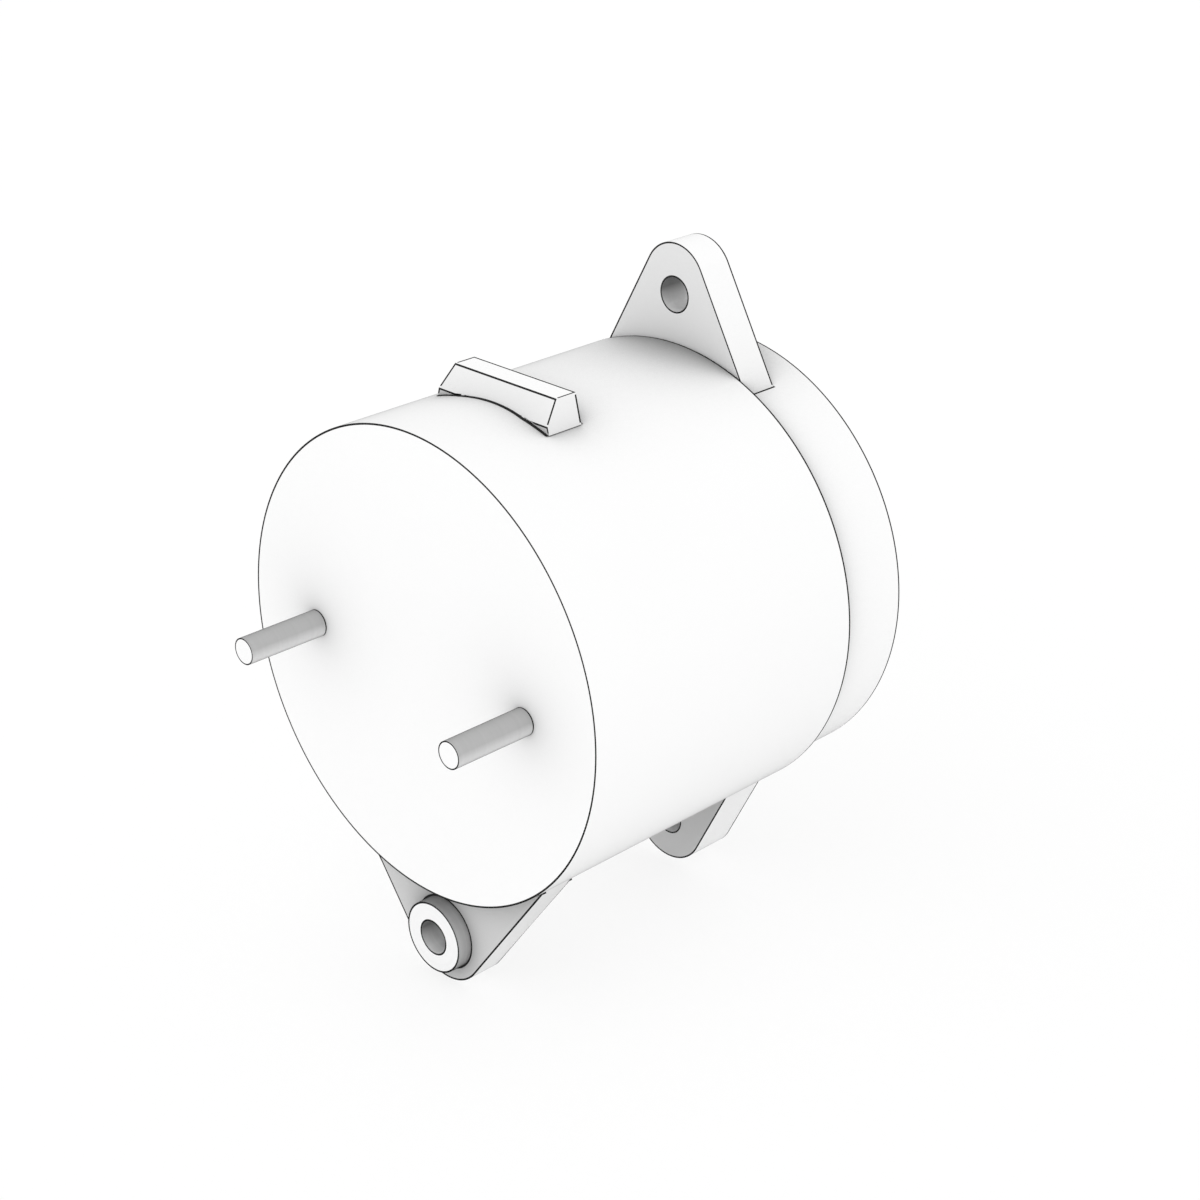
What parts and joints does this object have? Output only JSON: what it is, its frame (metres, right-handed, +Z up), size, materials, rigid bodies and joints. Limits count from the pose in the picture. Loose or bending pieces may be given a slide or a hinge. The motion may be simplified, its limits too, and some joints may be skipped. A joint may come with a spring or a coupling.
{
  "type": "alternator",
  "caption": "Belt-driven alternator: closed cylindrical housing with terminal studs, raised brush cover and foot, lugged drive-end bracket, cooling fan and V-belt pulley.",
  "frame": {"origin": "centre of the flat rear face of the housing, on the rotor axis", "axes": "+Y along the rotor axis towards the pulley, +Z up through the top lug, +X to the right when looking along +Y"},
  "size_m": [0.14, 0.1952, 0.2028],
  "materials": {
    "painted_casting": "white satin paint on an aluminium casting",
    "cover_moulding": "white moulded cover, fine matt texture",
    "stud_steel": "turned and zinc plated",
    "plated_steel": "zinc plated",
    "dark_steel": "black oxide",
    "shaft_steel": "ground",
    "bearing_steel": "polished",
    "lamination_steel": "stacked sheets, varnished",
    "copper": "enamelled or bare copper",
    "bare_aluminium": "bare, satin",
    "carbon": "pressed carbon",
    "black_moulding": "moulded, satin",
    "natural_moulding": "moulded, natural colour"
  },
  "bodies": {
    "housing": {"rear_housing": "painted_casting", "drive_end_bracket": "painted_casting", "through_bolt_1": "dark_steel", "through_bolt_2": "dark_steel", "through_bolt_3": "dark_steel", "through_bolt_4": "dark_steel", "output_stud": "stud_steel", "ground_stud": "stud_steel", "output_insulator": "natural_moulding", "ground_insulator": "natural_moulding", "output_heat_sink": "bare_aluminium", "ground_heat_sink": "bare_aluminium", "output_diode_1": "bare_aluminium", "output_diode_2": "bare_aluminium", "output_diode_3": "bare_aluminium", "ground_diode_1": "bare_aluminium", "ground_diode_2": "bare_aluminium", "ground_diode_3": "bare_aluminium", "voltage_regulator": "black_moulding", "brush_holder": "black_moulding", "brush_spring_1": "plated_steel", "brush_spring_2": "plated_steel", "brush_cover": "cover_moulding", "stator_core": "lamination_steel", "stator_winding": "copper", "bearing_retainer": "plated_steel", "retainer_screw_1": "dark_steel", "retainer_screw_2": "dark_steel", "retainer_screw_3": "dark_steel", "rear_bearing_outer_race": "bearing_steel", "front_bearing_outer_race": "bearing_steel"},
    "rotor": {"rotor_shaft": "shaft_steel", "rear_claw_pole": "dark_steel", "front_claw_pole": "dark_steel", "field_bobbin": "natural_moulding", "field_coil": "copper", "slip_ring_1": "copper", "slip_ring_2": "copper", "slip_ring_hub": "black_moulding", "rotor_collar": "plated_steel", "fan_spacer": "plated_steel", "cooling_fan": "plated_steel", "drive_pulley": "plated_steel", "pulley_key": "plated_steel", "pulley_washer": "plated_steel", "pulley_nut": "dark_steel", "rear_bearing_inner_race": "bearing_steel", "front_bearing_inner_race": "bearing_steel"},
    "rear_cage": {"rear_bearing_balls_and_cage": "bearing_steel"},
    "front_cage": {"front_bearing_balls_and_cage": "bearing_steel"},
    "rear_brush": {"brush_1": "carbon"},
    "front_brush": {"brush_2": "carbon"},
    "bush": {"pivot_bush": "stud_steel"}
  },
  "joints": [
    {"name": "rotor_spin", "type": "hinge", "parent": "housing", "child": "rotor", "pos_m": [0, 0.0704, 0], "axis": [0, 1, 0], "continuous": true},
    {"name": "rear_cage_spin", "type": "hinge", "parent": "housing", "child": "rear_cage", "pos_m": [0, 0.0101, 0], "axis": [0, 1, 0], "continuous": true},
    {"name": "front_cage_spin", "type": "hinge", "parent": "housing", "child": "front_cage", "pos_m": [0, 0.113, 0], "axis": [0, 1, 0], "continuous": true},
    {"name": "rear_brush_slide", "type": "slide", "parent": "housing", "child": "rear_brush", "axis": [0, 0, 1], "range_m": [0, 0.01], "stiffness_N_per_m": 300, "springref_m": -0.01, "deforming": ["brush_spring_1"]},
    {"name": "front_brush_slide", "type": "slide", "parent": "housing", "child": "front_brush", "axis": [0, 0, 1], "range_m": [0, 0.01], "stiffness_N_per_m": 300, "springref_m": -0.01, "deforming": ["brush_spring_2"]},
    {"name": "pivot_bush_slide", "type": "slide", "parent": "housing", "child": "bush", "axis": [0, 1, 0], "range_m": [-0.003, 0.003]}
  ],
  "couplings": [
    {"joint": "rear_cage_spin", "follows": "rotor_spin", "ratio": 0.384},
    {"joint": "front_cage_spin", "follows": "rotor_spin", "ratio": 0.37812}
  ]
}
